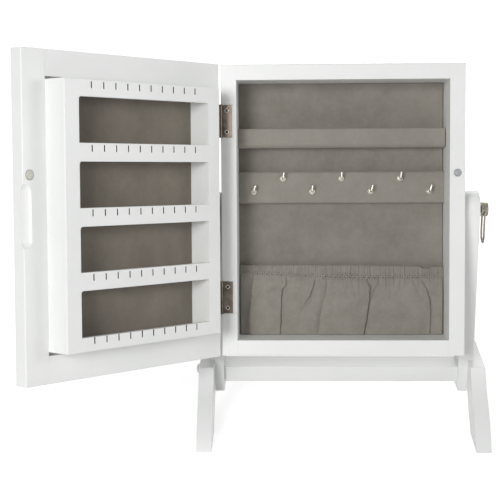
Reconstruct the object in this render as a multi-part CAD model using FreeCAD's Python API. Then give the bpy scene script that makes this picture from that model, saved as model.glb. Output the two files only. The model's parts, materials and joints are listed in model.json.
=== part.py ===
import FreeCAD, Part
import math
import os

# Tabletop jewelry cabinet: a shallow mirrored case that tilts between two posts.
# Millimetres, +Z up, front towards -Y.
# Everything is drawn around a point on the table below the middle of the tilting axis, the case
# upright and the door closed. Case and door are then turned to the resting pose, and the whole is
# shifted to its final origin: on the table, in the middle of the box around the opened cabinet.

V = FreeCAD.Vector

# ------------------------------------------------------------------ driving dimensions
BOARD = 18.5                # lacquered board
# resting pose
TILT = 14.74                # case leaning back, degrees
OPEN = 130.5                # door opened, degrees
PIVOT_Z = 268.5             # tilting axis above the table
PIVOT_CASE_Y = 38.0         # the same axis in the case, behind its front edge
PIVOT_CASE_Z = 174.0        # and above its bottom
# stand
POST_IN = 147.0             # inner face of each post from the middle
POST_DEPTH = 42.5
POST_TOP = 291.0
POST_LOW = 36.0             # lower end of the tongue
TONGUE = 11.5               # what the rebate leaves of the post
FOOT_TOP = 78.0             # the post's shoulder rests on the foot here
FOOT_HALF_TOP = 44.5
FOOT_TOE = 119.0
FOOT_HEEL = 66.6            # inner end of the floor contact
BAR_Y = (-13.6, 21.25)
BAR_Z = (45.4, 66.0)
BOLT_R = 3.0
# case
CASE_W = 290.0
CASE_H = 348.0
CASE_D = 76.0
LINING_Y = 65.0             # face of the velvet lining
PANEL_Y = 71.0              # front of the back panel in its rebate
REBATE = 5.5
LEDGE_Y = 36.0
LEDGE_Z = (250.0, 273.0)
HOOK_PLATE_Y = 54.0
HOOK_PLATE_Z = (181.6, 220.8)
HOOK_PITCH = 36.0
HOOK_ROWS = (196.0, 212.0)
MAGNET = (136.0, 218.5)
# door, measured from the hinge line: u across, v from the inner face inwards, z up
HINGE_X = -145.0
HINGE_Y = -2.6
DOOR_T = 18.0
DOOR_U = (2.2, 290.0)
OPENING_U = (34.0, 260.0)
OPENING_Z = (29.7, 320.0)
LIP = 6.0                   # front lip that holds the mirror
LIP_T = 5.0
GLASS_T = 3.0
BACKING_T = 3.0
BOX_Z = (33.9, 317.0)
BOX_V = 31.0                # front of the earring box
RACK_T = 6.0
WINDOW_U = (52.0, 241.0)
WINDOW_ROWS = ((49.0, 98.0), (117.0, 164.7), (184.0, 232.0), (251.3, 299.0))
SLOT_ROWS = (41.6, 107.8, 175.2, 242.2, 307.6)
SLOT_U = 73.1
SLOT_PITCH = 16.76
SLOT_COUNT = 10
SLOT_W = 1.7
SLOT_H = 7.1
VELVET_V = 2.3              # face of the velvet pad in the box
# butt hinges
HINGE_Z = ((51.5, 89.5), (262.0, 300.0))
LEAF_W = 13.0
LEAF_T = 1.2
BARREL_R = 2.1
PIN_R = 1.1
KNUCKLES = 5
FIT = 0.05                  # running and press clearances

half_w = CASE_W / 2
inner_w = half_w - BOARD
foot_in = POST_IN + TONGUE
foot_out = foot_in + BOARD
post_half = POST_DEPTH / 2


# ------------------------------------------------------------------ helpers
def slab(x0, x1, y0, y1, z0, z1):
    return Part.makeBox(x1 - x0, y1 - y0, z1 - z0, V(x0, y0, z0))


def rod(radius, start, end):
    axis = V(*end).sub(V(*start))
    return Part.makeCylinder(radius, axis.Length, V(*start), axis)


def fuse(shapes):
    return shapes[0].fuse(shapes[1:]).removeSplitter()


def rounded(shape, radius, chosen):
    """Round the straight edges whose middle satisfies the test."""
    edges = [e for e in shape.Edges if chosen(e.CenterOfMass, e)]
    return shape.makeFillet(radius, edges)


def bevelled(shape, width, chosen):
    """Break the edges whose middle satisfies the test with a flat bevel."""
    return shape.makeChamfer(width, [e for e in shape.Edges if chosen(e.CenterOfMass, e)])


def near(a, b):
    return abs(a - b) < 1e-3


def mirrored(shape):
    return shape.mirror(V(0, 0, 0), V(1, 0, 0))


def bent_wire(path, radius, start, direction):
    """Round wire along a path, mitred where two straight runs meet."""
    circle = Part.Wire(Part.Circle(V(*start), V(*direction), radius).toShape())
    return Part.Wire(path).makePipeShell([circle], True, True, 1)


def arc(a, b, c):
    return Part.Arc(V(*a), V(*b), V(*c)).toShape()


def line(a, b):
    return Part.makeLine(V(*a), V(*b))


def screw(tip, head, shank_r, head_r, head_t):
    """A countersunk screw along an axis, its flat head at the point given as head."""
    axis = V(*tip).sub(V(*head))
    shank = Part.makeCylinder(shank_r, axis.Length, V(*head), axis)
    cone = Part.makeCone(head_r, shank_r, head_t, V(*head), axis)
    return fuse([cone, shank])


# ------------------------------------------------------------------ stand
def make_post():
    centre = POST_TOP - post_half
    profile = Part.Wire([
        line((POST_IN, -post_half, POST_LOW), (POST_IN, -post_half, centre)),
        arc((POST_IN, -post_half, centre), (POST_IN, 0, POST_TOP), (POST_IN, post_half, centre)),
        line((POST_IN, post_half, centre), (POST_IN, post_half, POST_LOW)),
        line((POST_IN, post_half, POST_LOW), (POST_IN, -post_half, POST_LOW)),
    ])
    post = Part.Face(profile).extrude(V(BOARD, 0, 0))
    post = bevelled(post, 0.8, lambda c, e: e.BoundBox.XLength < 0.01 and c.z > POST_LOW + 1)
    rebate = slab(foot_in, POST_IN + BOARD + 1, -post_half - 1, post_half + 1, 0, FOOT_TOP)
    post = post.cut(rebate)
    post = post.cut(rod(2.5 + FIT, (POST_IN - 1, 0, PIVOT_Z), (POST_IN + BOARD + 1, 0, PIVOT_Z)))
    return post.cut(bolt_bore())


def bolt_axis():
    return sum(BAR_Y) / 2, sum(BAR_Z) / 2


def bolt_bore():
    y, z = bolt_axis()
    return rod(BOLT_R + FIT, (112, y, z), (foot_out + 1, y, z))


def make_foot():
    """An ogee front from the flat top to the toe, and a straight sided arch with a round crown."""
    waist = (75.0, 46.4)
    slope = math.radians(34.0)

    def bulged(y0, z0, y1, z1, bow):
        """Middle point of an arc that leaves its chord by bow, to the outside where bow is positive."""
        length = math.hypot(y1 - y0, z1 - z0)
        return (y0 + y1) / 2 + bow * (z0 - z1) / length, (z0 + z1) / 2 + bow * (y1 - y0) / length

    def bow(y0, z0, y1, z1, tangent):
        chord = math.atan2(z0 - z1, y1 - y0)
        return math.hypot(y1 - y0, z1 - z0) / 2 * math.tan((chord - tangent) / 2)

    upper = (FOOT_HALF_TOP, FOOT_TOP, *waist)
    lower = (*waist, FOOT_TOE, 0.0)
    hollow = bulged(*upper, -bow(*upper, slope))
    swell = bulged(*lower, bow(*lower, slope))

    def side(sign):
        return [arc(*[(foot_in, sign * y, z) for y, z in ((FOOT_HALF_TOP, FOOT_TOP), hollow, waist)]),
                arc(*[(foot_in, sign * y, z) for y, z in (waist, swell, (FOOT_TOE, 0.0))])]

    rise = math.radians(42.8)
    crown_y = 30.0
    crown_z = (FOOT_HEEL - crown_y) * math.tan(rise)
    crown_r = crown_y / math.sin(rise)
    top = crown_z + crown_r * (1 - math.cos(rise))
    profile = Part.Wire(Part.__sortEdges__([
        line((foot_in, -FOOT_HALF_TOP, FOOT_TOP), (foot_in, FOOT_HALF_TOP, FOOT_TOP)),
        *side(1),
        line((foot_in, FOOT_TOE, 0), (foot_in, FOOT_HEEL, 0)),
        line((foot_in, FOOT_HEEL, 0), (foot_in, crown_y, crown_z)),
        arc((foot_in, crown_y, crown_z), (foot_in, 0, top), (foot_in, -crown_y, crown_z)),
        line((foot_in, -crown_y, crown_z), (foot_in, -FOOT_HEEL, 0)),
        line((foot_in, -FOOT_HEEL, 0), (foot_in, -FOOT_TOE, 0)),
        *side(-1),
    ]))
    foot = Part.Face(profile).extrude(V(BOARD, 0, 0))
    foot = rounded(foot, 1.2, lambda c, e: e.BoundBox.XLength < 0.01 and near(c.z, FOOT_TOP))
    return foot.cut(bolt_bore())


def make_crossbar():
    bar = slab(-POST_IN, POST_IN, *BAR_Y, *BAR_Z)
    bar = rounded(bar, 2.0, lambda c, e: e.BoundBox.XLength > 100)
    return bar.cut(bolt_bore()).cut(mirrored(bolt_bore()))


def make_bolt():
    y, z = bolt_axis()
    shank = rod(BOLT_R, (113, y, z), (foot_out, y, z))
    head = rod(5.0, (foot_out, y, z), (foot_out + 3.4, y, z))
    return fuse([shank, head])


def make_bolt_cap():
    """A rounded cap with a socket for the bolt head."""
    y, z = bolt_axis()
    cap = rod(6.0, (foot_out, y, z), (foot_out + 6.8, y, z))
    cap = bevelled(cap, 1.8, lambda c, e: near(c.x, foot_out + 6.8))
    return cap.cut(rod(5.0 + FIT, (foot_out - 1, y, z), (foot_out + 3.45, y, z)))


def make_tilt_washer():
    outer = rod(10.0, (half_w + 0.1, 0, PIVOT_Z), (POST_IN, 0, PIVOT_Z))
    return outer.cut(rod(2.5 + FIT, (half_w - 1, 0, PIVOT_Z), (POST_IN + 1, 0, PIVOT_Z)))


# ------------------------------------------------------------------ thumbscrews and their rings
HEAD_X = (169.0, 177.3)
HEAD_R = 8.75
RING_X = 172.6
RING_Z = PIVOT_Z - 2.0
RING_WIRE = 1.25
RING_HALF = 10.4
RING_LOW = 225.0


def make_thumbscrew():
    """A stepped shank, a neck and a round head, bored across for the ring's ends."""
    shank = rod(2.5, (half_w - 11, 0, PIVOT_Z), (POST_IN + BOARD + 0.3, 0, PIVOT_Z))
    flange = rod(7.0, (POST_IN + BOARD + 0.1, 0, PIVOT_Z), (POST_IN + BOARD + 1.5, 0, PIVOT_Z))
    neck = rod(4.0, (POST_IN + BOARD + 1.5, 0, PIVOT_Z), (HEAD_X[0], 0, PIVOT_Z))
    head = rod(HEAD_R, (HEAD_X[0], 0, PIVOT_Z), (HEAD_X[1], 0, PIVOT_Z))
    head = bevelled(head, 0.9, lambda c, e: near(c.x, HEAD_X[1]))
    body = fuse([shank, flange, neck, head])
    for sign in (-1, 1):
        body = body.cut(rod(RING_WIRE + FIT, (RING_X, sign * 5.8, RING_Z), (RING_X, sign * 12, RING_Z)))
    return body


def make_ring():
    """A folding ring of round wire: two ends turned in, two legs and a half round bottom."""
    low = RING_LOW + RING_WIRE + RING_HALF
    path = [
        line((RING_X, -6.0, RING_Z), (RING_X, -RING_HALF, RING_Z)),
        line((RING_X, -RING_HALF, RING_Z), (RING_X, -RING_HALF, low)),
        arc((RING_X, -RING_HALF, low), (RING_X, 0, low - RING_HALF), (RING_X, RING_HALF, low)),
        line((RING_X, RING_HALF, low), (RING_X, RING_HALF, RING_Z)),
        line((RING_X, RING_HALF, RING_Z), (RING_X, 6.0, RING_Z)),
    ]
    return bent_wire(path, RING_WIRE, (RING_X, -6.0, RING_Z), (0, -1, 0))


# ------------------------------------------------------------------ case, upright
def back_rebate():
    return slab(-inner_w - REBATE, inner_w + REBATE, PANEL_Y, CASE_D + 1, BOARD - REBATE, CASE_H - BOARD + REBATE)


def insert_bore():
    return rod(4.0 + FIT, (half_w - 12, PIVOT_CASE_Y, PIVOT_CASE_Z), (half_w + 1, PIVOT_CASE_Y, PIVOT_CASE_Z))


def back_screw_places():
    edge = inner_w + REBATE / 2
    return [(sx * edge, z) for sx in (-1, 1) for z in (30.0, 174.0, 318.0)]


def back_screw_bores():
    return [rod(1.1 + FIT, (x, PANEL_Y - 7, z), (x, CASE_D, z)) for x, z in back_screw_places()]


def leaf_screw_places():
    return [z0 + f for z0, z1 in HINGE_Z for f in (6.4, 31.6)]


def make_case_side():
    """The plain right board; the left one is its mirror image before the hinges are let in."""
    side = slab(inner_w, half_w, 0, CASE_D, 0, CASE_H)
    side = rounded(side, 1.2, lambda c, e: near(c.x, half_w))
    side = side.cut(back_rebate()).cut(insert_bore())
    return side.cut([b for b in back_screw_bores() if b.BoundBox.XMin > inner_w - 1])


def make_case_right():
    x, z = MAGNET
    return make_case_side().cut(rod(4.5 + FIT, (x, -1, z), (x, 5.1, z)))


def make_case_left():
    """Each hinge is let in across the whole edge of the board."""
    side = mirrored(make_case_side())
    for z0, z1 in HINGE_Z:
        side = side.cut(slab(-half_w - 1, -inner_w + 1, -1, LEAF_T, z0 - 0.4, z1 + 0.4))
    for z in leaf_screw_places():
        side = side.cut(rod(1.3 + FIT, (-138.0, -1, z), (-138.0, 12.2, z)))
    return side


def make_case_end(z0, z1, outer_z):
    end = slab(-inner_w, inner_w, 0, CASE_D, z0, z1)
    end = rounded(end, 1.2, lambda c, e: near(c.z, outer_z) and e.BoundBox.XLength > 100)
    return end.cut(back_rebate())


def make_back_panel():
    panel = slab(-inner_w - REBATE, inner_w + REBATE, PANEL_Y, PANEL_Y + 4, BOARD - REBATE, CASE_H - BOARD + REBATE)
    return panel.cut(back_screw_bores())


def make_back_screw(x, z):
    shank = rod(1.1, (x, PANEL_Y - 6.8, z), (x, PANEL_Y + 4, z))
    head = rod(2.4, (x, PANEL_Y + 4, z), (x, CASE_D - 0.1, z))
    return fuse([shank, head])


def make_lining():
    return slab(-inner_w + 0.2, inner_w - 0.8, LINING_Y, PANEL_Y, BOARD + 0.2, CASE_H - BOARD - 0.2)


def make_ledge():
    """A wrapped strip with a full round along its lower front edge."""
    ledge = slab(-inner_w + 0.2, inner_w - 1.0, LEDGE_Y, LINING_Y, *LEDGE_Z)
    ledge = rounded(ledge, 6.0, lambda c, e: near(c.y, LEDGE_Y) and near(c.z, LEDGE_Z[0]))
    return rounded(ledge, 1.5, lambda c, e: near(c.y, LEDGE_Y) and near(c.z, LEDGE_Z[1]))


def hook_places():
    return [(HOOK_PITCH * (i - 3), HOOK_ROWS[i % 2]) for i in range(7)]


def make_hook_plate():
    plate = slab(-inner_w + 0.2, inner_w - 0.2, HOOK_PLATE_Y, LINING_Y, *HOOK_PLATE_Z)
    plate = rounded(plate, 3.0, lambda c, e: near(c.y, HOOK_PLATE_Y) and e.BoundBox.XLength > 100)
    return plate.cut([rod(1.2 + FIT, (x, HOOK_PLATE_Y - 1, z), (x, HOOK_PLATE_Y + 7, z)) for x, z in hook_places()])


def make_hook(x, z):
    """A shank in the plate, a round collar on it, a stem that turns up and a beaded end."""
    face = HOOK_PLATE_Y
    front = face - 10.5
    path = [
        line((x, face - 0.5, z), (x, front, z)),
        line((x, front, z), (x, front, z + 7.3)),
    ]
    stem = bent_wire(path, 1.5, (x, face - 0.5, z), (0, -1, 0))
    collar = Part.makeCone(3.4, 2.6, 1.6, V(x, face, z), V(0, -1, 0))
    shank = rod(1.2, (x, face - 1, z), (x, face + 6.8, z))
    bead = rod(1.9, (x, front, z + 5.9), (x, front, z + 8.6))
    return fuse([stem, collar, shank, bead])


def make_pocket():
    """Elastic cloth pocket: vertical folds between a straight gathered header and the case bottom."""
    cloth = 1.5
    # fold lines from left to right, and how far each one wanders sideways on its way down
    folds = [(-125.6, 0), (-109, 1.5), (-72, -3), (-42, -5), (-22, 5), (33, -3), (107, 3), (125.6, 0)]
    # height, place of the folds and of the swells between them, share of the sideways wander
    levels = [
        (BOARD + 0.1, 57.0, 52.5, 1.0),
        (38.0, 54.5, 48.8, 0.9),
        (66.0, 55.2, 49.6, 0.6),
        (88.0, 56.0, 53.2, 0.2),
        (93.0, 56.0, 54.6, 0.0),
        (105.0, 56.0, 54.9, 0.0),
    ]

    def section(z, fold_y, swell_y, wander):
        xs = [x + w * wander for x, w in folds]
        front = []
        back = []
        for a, b in zip(xs, xs[1:]):
            depth = (fold_y - swell_y) * min(1.0, math.sqrt((b - a) / 40.0))
            mid = (a + b) / 2
            front.append(arc((a, fold_y, z), (mid, fold_y - depth, z), (b, fold_y, z)))
            back.append(arc((a, fold_y + cloth, z), (mid, fold_y - depth + cloth, z), (b, fold_y + cloth, z)))
        ends = [
            line((xs[0], fold_y, z), (xs[0], fold_y + cloth, z)),
            line((xs[-1], fold_y, z), (xs[-1], fold_y + cloth, z)),
        ]
        return Part.Wire(Part.__sortEdges__(front + [ends[1]] + back[::-1] + [ends[0]]))

    return Part.makeLoft([section(*level) for level in levels], True, True)


def make_insert():
    x0, x1 = half_w - 12, half_w
    tube = rod(4.0, (x0, PIVOT_CASE_Y, PIVOT_CASE_Z), (x1, PIVOT_CASE_Y, PIVOT_CASE_Z))
    return tube.cut(rod(2.5 + FIT, (x0 - 1, PIVOT_CASE_Y, PIVOT_CASE_Z), (x1 + 1, PIVOT_CASE_Y, PIVOT_CASE_Z)))


def make_magnet():
    x, z = MAGNET
    cup = rod(4.5, (x, -1.0, z), (x, 5.0, z))
    return bevelled(cup, 0.4, lambda c, e: near(c.y, -1.0))


# ------------------------------------------------------------------ butt hinges
def knuckle(z0, z1, index):
    """Lower and upper end of one knuckle of a barrel, with a little play to the next."""
    pitch = (z1 - z0) / KNUCKLES
    low = z0 + index * pitch + 0.1
    high = z0 + (index + 1) * pitch - 0.1
    return low, high


def make_case_leaf(z0, z1):
    """Leaf let into the case, with the first, middle and last knuckle."""
    plate = slab(-half_w - 1.0, -half_w + LEAF_W, 0, LEAF_T, z0, z1)
    parts = [plate]
    for index in range(0, KNUCKLES, 2):
        low, high = knuckle(z0, z1, index)
        parts.append(rod(BARREL_R, (HINGE_X, HINGE_Y, low), (HINGE_X, HINGE_Y, high)))
        parts.append(slab(HINGE_X - 1.0, HINGE_X + 0.6, HINGE_Y, LEAF_T / 2, low, high))
    leaf = fuse(parts).cut(rod(PIN_R, (HINGE_X, HINGE_Y, z0 - 1), (HINGE_X, HINGE_Y, z1 + 1)))
    for z in [z for z in leaf_screw_places() if z0 < z < z1]:
        leaf = leaf.cut(screw((-138.0, 3, z), (-138.0, 0, z), 1.3 + FIT, 2.7 + FIT, 1.2))
    return leaf


def make_door_leaf(z0, z1):
    """Leaf let into the door's edge, with the second and fourth knuckle. Drawn in u, v, z."""
    u0 = DOOR_U[0]
    parts = [slab(u0, u0 + LEAF_T, -14.0, -0.9, z0, z1)]
    for index in range(1, KNUCKLES, 2):
        low, high = knuckle(z0, z1, index)
        parts.append(rod(BARREL_R, (0, 0, low), (0, 0, high)))
        parts.append(slab(0, u0 + LEAF_T / 2, -BARREL_R, -0.9, low, high))
    leaf = fuse(parts).cut(rod(PIN_R + FIT, (0, 0, z0 - 1), (0, 0, z1 + 1)))
    for z in [z for z in leaf_screw_places() if z0 < z < z1]:
        leaf = leaf.cut(screw((u0 + 3, -8.5, z), (u0, -8.5, z), 1.3 + FIT, 2.7 + FIT, 1.2))
    return leaf


def make_hinge_pin(z0, z1):
    pin = rod(PIN_R, (HINGE_X, HINGE_Y, z0 - 0.3), (HINGE_X, HINGE_Y, z1 + 0.3))
    caps = [rod(1.8, (HINGE_X, HINGE_Y, a), (HINGE_X, HINGE_Y, b)) for a, b in ((z0 - 0.8, z0), (z1, z1 + 0.8))]
    return fuse([pin] + caps)


# ------------------------------------------------------------------ door, in u, v, z
def make_stile(u0, u1, lip_u):
    """Full height member: the deep part and, in front, the lip that holds the mirror."""
    deep = slab(u0, u1, -DOOR_T, 0, 0, CASE_H)
    lip = slab(min(u0, lip_u), max(u1, lip_u), -DOOR_T, -DOOR_T + LIP_T, 0, CASE_H)
    return fuse([deep, lip])


def make_hinge_stile():
    u0 = DOOR_U[0]
    stile = make_stile(u0, OPENING_U[0], OPENING_U[0] + LIP)
    stile = rounded(stile, 1.2, lambda c, e: near(c.x, u0) and e.BoundBox.ZLength > 100)
    for z0, z1 in HINGE_Z:
        stile = stile.cut(slab(u0 - 1, u0 + LEAF_T, -14.3, 1, z0 - 0.3, z1 + 0.3))
    for z in leaf_screw_places():
        stile = stile.cut(rod(1.3 + FIT, (u0 - 1, -8.5, z), (u0 + 12.2, -8.5, z)))
    return stile


def make_free_stile():
    """The outer edge has a long scooped finger pull and the recess of the strike disc."""
    u1 = DOOR_U[1]
    stile = make_stile(OPENING_U[1], u1, OPENING_U[1] - LIP)
    stile = rounded(stile, 1.2, lambda c, e: near(c.x, u1) and e.BoundBox.ZLength > 100)
    scoop_r, scoop_u, scoop_v, reach = 11.0, 288.45, 6.4, 24.1
    middle = CASE_H / 2 + 2
    tool = fuse([
        rod(scoop_r, (scoop_u, scoop_v, middle - reach), (scoop_u, scoop_v, middle + reach)),
        Part.makeSphere(scoop_r, V(scoop_u, scoop_v, middle - reach)),
        Part.makeSphere(scoop_r, V(scoop_u, scoop_v, middle + reach)),
    ])
    disc_u = MAGNET[0] - HINGE_X
    return stile.cut(tool).cut(rod(5.6, (disc_u, -1.2, MAGNET[1]), (disc_u, 1, MAGNET[1])))


def make_rail(z0, z1, lip_z):
    deep = slab(OPENING_U[0], OPENING_U[1], -DOOR_T + LIP_T, 0, z0, z1)
    u0, u1 = OPENING_U[0] + LIP, OPENING_U[1] - LIP
    lip = slab(u0, u1, -DOOR_T, -DOOR_T + LIP_T, min(z0, lip_z), max(z1, lip_z))
    rail = fuse([deep, lip])
    outer = 0 if z0 == 0 else CASE_H
    return rounded(rail, 1.2, lambda c, e: near(c.z, outer) and near(c.y, -DOOR_T) and e.BoundBox.XLength > 100)


def make_mirror():
    v0 = -DOOR_T + LIP_T
    return slab(OPENING_U[0] + 0.5, OPENING_U[1] - 0.5, v0, v0 + GLASS_T, OPENING_Z[0] + 0.5, OPENING_Z[1] - 0.5)


def make_backing():
    v0 = -DOOR_T + LIP_T + GLASS_T
    return slab(OPENING_U[0] + 0.2, OPENING_U[1] - 0.2, v0, v0 + BACKING_T, OPENING_Z[0] + 0.2, OPENING_Z[1] - 0.2)


def make_rack():
    """The thin front of the box: four windows and, on the bars between them, rows of slots."""
    rack = slab(OPENING_U[0], OPENING_U[1], BOX_V - RACK_T, BOX_V, *BOX_Z)
    rack = rounded(rack, 0.8, lambda c, e: near(c.y, BOX_V))
    v0 = BOX_V - RACK_T - 1
    for z0, z1 in WINDOW_ROWS:
        window = slab(*WINDOW_U, v0, BOX_V + 1, z0, z1)
        window = rounded(window, 3.0, lambda c, e: near(c.z, z1) and e.BoundBox.YLength > 5)
        rack = rack.cut(window)
    slots = []
    half = SLOT_W / 2
    for z in SLOT_ROWS:
        for i in range(SLOT_COUNT):
            u = SLOT_U + i * SLOT_PITCH
            slots.append(slab(u - half, u + half, v0, BOX_V + 1, z, z + SLOT_H))
    return rack.cut(slots)


def make_box_side(u0, u1):
    return slab(u0, u1, -DOOR_T + LIP_T + GLASS_T + BACKING_T, BOX_V - RACK_T, *BOX_Z)


def make_box_end(z0, z1):
    return slab(*WINDOW_U, -DOOR_T + LIP_T + GLASS_T + BACKING_T, BOX_V - RACK_T, z0, z1)


def make_velvet_pad():
    back = -DOOR_T + LIP_T + GLASS_T + BACKING_T
    return slab(WINDOW_U[0] + 0.2, WINDOW_U[1] - 0.2, back, VELVET_V, BOX_Z[0] + 6.2, BOX_Z[1] - 6.2)


def make_strike():
    u = MAGNET[0] - HINGE_X
    disc = rod(5.0, (u, -1.2, MAGNET[1]), (u, -0.2, MAGNET[1]))
    return bevelled(disc, 0.3, lambda c, e: near(c.y, -0.2))


# ------------------------------------------------------------------ resting pose and export
def lean(shape):
    """From the upright case to its place between the posts."""
    shape = shape.copy()
    shape.rotate(V(0, PIVOT_CASE_Y, PIVOT_CASE_Z), V(1, 0, 0), -TILT)
    shape.translate(V(0, -PIVOT_CASE_Y, PIVOT_Z - PIVOT_CASE_Z))
    return shape


def swing(shape):
    """From the closed door, in u, v, z, to the opened door on the leaning case."""
    shape = shape.copy()
    shape.rotate(V(0, 0, 0), V(0, 0, 1), -OPEN)
    shape.translate(V(HINGE_X, HINGE_Y, 0))
    return lean(shape)


def pair(shape):
    return Part.makeCompound([shape, mirrored(shape)])


def build():
    post = make_post()
    foot = make_foot()
    insert = make_insert()
    thumbscrew = make_thumbscrew()
    ring = make_ring()
    stand = {
        "left_post": mirrored(post),
        "right_post": post,
        "left_foot": mirrored(foot),
        "right_foot": foot,
        "crossbar": make_crossbar(),
        "stand_bolts": pair(make_bolt()),
        "bolt_caps": pair(make_bolt_cap()),
        "tilt_washers": pair(make_tilt_washer()),
        "left_thumbscrew": mirrored(thumbscrew),
        "right_thumbscrew": thumbscrew,
        "left_ring": mirrored(ring),
        "right_ring": ring,
    }
    case = {
        "case_left_side": make_case_left(),
        "case_right_side": make_case_right(),
        "case_top": make_case_end(CASE_H - BOARD, CASE_H, CASE_H),
        "case_bottom": make_case_end(0, BOARD, 0),
        "back_panel": make_back_panel(),
        "back_screws": Part.makeCompound([make_back_screw(x, z) for x, z in back_screw_places()]),
        "back_lining": make_lining(),
        "ledge": make_ledge(),
        "hook_plate": make_hook_plate(),
        "hooks": Part.makeCompound([make_hook(x, z) for x, z in hook_places()]),
        "elastic_pocket": make_pocket(),
        "threaded_inserts": pair(insert),
        "catch_magnet": make_magnet(),
        "bottom_hinge_case_leaf": make_case_leaf(*HINGE_Z[0]),
        "top_hinge_case_leaf": make_case_leaf(*HINGE_Z[1]),
        "hinge_pins": Part.makeCompound([make_hinge_pin(*z) for z in HINGE_Z]),
        "hinge_case_screws": Part.makeCompound(
            [screw((-138.0, 12, z), (-138.0, 0, z), 1.3, 2.7, 1.2) for z in leaf_screw_places()]),
    }
    u0 = DOOR_U[0]
    door = {
        "door_hinge_stile": make_hinge_stile(),
        "door_free_stile": make_free_stile(),
        "door_bottom_rail": make_rail(0, OPENING_Z[0], OPENING_Z[0] + LIP),
        "door_top_rail": make_rail(OPENING_Z[1], CASE_H, OPENING_Z[1] - LIP),
        "mirror_glass": make_mirror(),
        "mirror_backing": make_backing(),
        "box_hinge_side": make_box_side(OPENING_U[0], WINDOW_U[0]),
        "box_free_side": make_box_side(WINDOW_U[1], OPENING_U[1]),
        "box_bottom": make_box_end(BOX_Z[0], BOX_Z[0] + 6),
        "box_top": make_box_end(BOX_Z[1] - 6, BOX_Z[1]),
        "earring_rack": make_rack(),
        "door_velvet_pad": make_velvet_pad(),
        "strike_disc": make_strike(),
        "bottom_hinge_door_leaf": make_door_leaf(*HINGE_Z[0]),
        "top_hinge_door_leaf": make_door_leaf(*HINGE_Z[1]),
        "hinge_door_screws": Part.makeCompound(
            [screw((u0 + 12, -8.5, z), (u0, -8.5, z), 1.3, 2.7, 1.2) for z in leaf_screw_places()]),
    }
    parts = dict(stand)
    parts.update({name: lean(shape) for name, shape in case.items()})
    parts.update({name: swing(shape) for name, shape in door.items()})
    return parts


def centred(parts):
    """Shift everything so that the origin is in the middle of the box around it, on the table."""
    box = Part.makeCompound(list(parts.values())).optimalBoundingBox(False, False)
    shift = V(-box.Center.x, -box.Center.y, 0)
    print("shift to the origin %.4f %.4f, box %.2f x %.2f x %.2f, lowest %.4f" % (
        shift.x, shift.y, box.XLength, box.YLength, box.ZLength, box.ZMin))
    return {name: shape.translated(shift) for name, shape in parts.items()}


os.makedirs("parts", exist_ok=True)
for name, shape in centred(build()).items():
    print("%-24s solids %d valid %s volume %.0f" % (name, len(shape.Solids), shape.isValid(), shape.Volume))
    shape.exportStep("parts/%s.step" % name)
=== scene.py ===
import json
import math

import bmesh
import bpy
from mathutils import Matrix, Vector, noise


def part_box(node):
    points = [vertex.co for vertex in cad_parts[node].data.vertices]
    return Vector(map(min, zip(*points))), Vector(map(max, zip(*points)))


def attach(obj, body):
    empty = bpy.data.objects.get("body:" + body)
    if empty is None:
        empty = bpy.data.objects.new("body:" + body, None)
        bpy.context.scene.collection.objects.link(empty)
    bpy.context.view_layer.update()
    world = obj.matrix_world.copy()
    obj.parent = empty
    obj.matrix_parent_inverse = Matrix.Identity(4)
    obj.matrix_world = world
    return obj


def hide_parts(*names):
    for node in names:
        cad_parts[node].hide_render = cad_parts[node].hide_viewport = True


# The looks of a tabletop jewelry cabinet with an opened mirror door. The scene is in metres. Sizes and
# places of the object are written in millimetres and turned into metres by MM and the at_ functions.

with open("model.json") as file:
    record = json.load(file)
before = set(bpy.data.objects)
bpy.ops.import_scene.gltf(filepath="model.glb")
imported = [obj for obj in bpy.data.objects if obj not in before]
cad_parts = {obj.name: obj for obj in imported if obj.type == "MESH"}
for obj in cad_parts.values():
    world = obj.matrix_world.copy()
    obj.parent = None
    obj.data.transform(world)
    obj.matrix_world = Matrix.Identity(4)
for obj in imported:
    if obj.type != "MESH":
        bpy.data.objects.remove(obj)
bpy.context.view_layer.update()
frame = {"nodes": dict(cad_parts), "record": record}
nodes = frame["nodes"]

MM = 0.001

# ------------------------------------------------------------------ places
TILT = math.radians(14.74)              # the case leans back
PIVOT_CASE = Vector((0, 38, 174))       # tilting axis in the upright case, mm
PIVOT_Z = 268.5                         # the same axis above the table, mm
BAR_MIDDLE_Y = 3.825                    # middle of the crossbar behind the tilting axis, mm
OPEN = math.radians(130.5)              # the door stands open
HINGE_LINE = Vector((-145.0, -2.6, 0))  # the door's hinge axis in the upright case, mm
INNER = 126.5                           # half of the case's inner width, mm

bar_low, bar_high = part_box("crossbar")
STAND = Vector(((bar_low.x + bar_high.x) / 2, (bar_low.y + bar_high.y) / 2 - BAR_MIDDLE_Y * MM, 0))


def at_stand(x, y, z):
    """A point of the stand: x from its middle, y behind the tilting axis, z above the table, in mm."""
    return STAND + Vector((x, y, z)) * MM


def at_case(x, y, z):
    """A point of the upright case, in mm, at its place in the leaning case."""
    local = Vector((x, y, z)) - PIVOT_CASE
    turned = Matrix.Rotation(-TILT, 3, "X") @ local
    return STAND + (turned + Vector((0, 0, PIVOT_Z))) * MM


def at_door(u, v, z):
    """A point of the closed door, measured from the hinge line in mm, at its place on the opened door."""
    turned = Matrix.Rotation(-OPEN, 3, "Z") @ Vector((u, v, 0))
    local = turned + HINGE_LINE
    return at_case(local.x, local.y, z)


CASE_FRONT = at_case(0, -1, 0) - at_case(0, 0, 0)      # 1 mm straight out of the case's front


# ------------------------------------------------------------------ materials
def new_material(name):
    material = bpy.data.materials.new(name)
    material.use_nodes = True
    tree = material.node_tree
    return material, tree, tree.nodes["Principled BSDF"]


def set_values(shader, **values):
    """Set sockets of the shader, with _ for the spaces in their names."""
    for name, value in values.items():
        shader.inputs[name.replace("_", " ")].default_value = value


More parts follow.
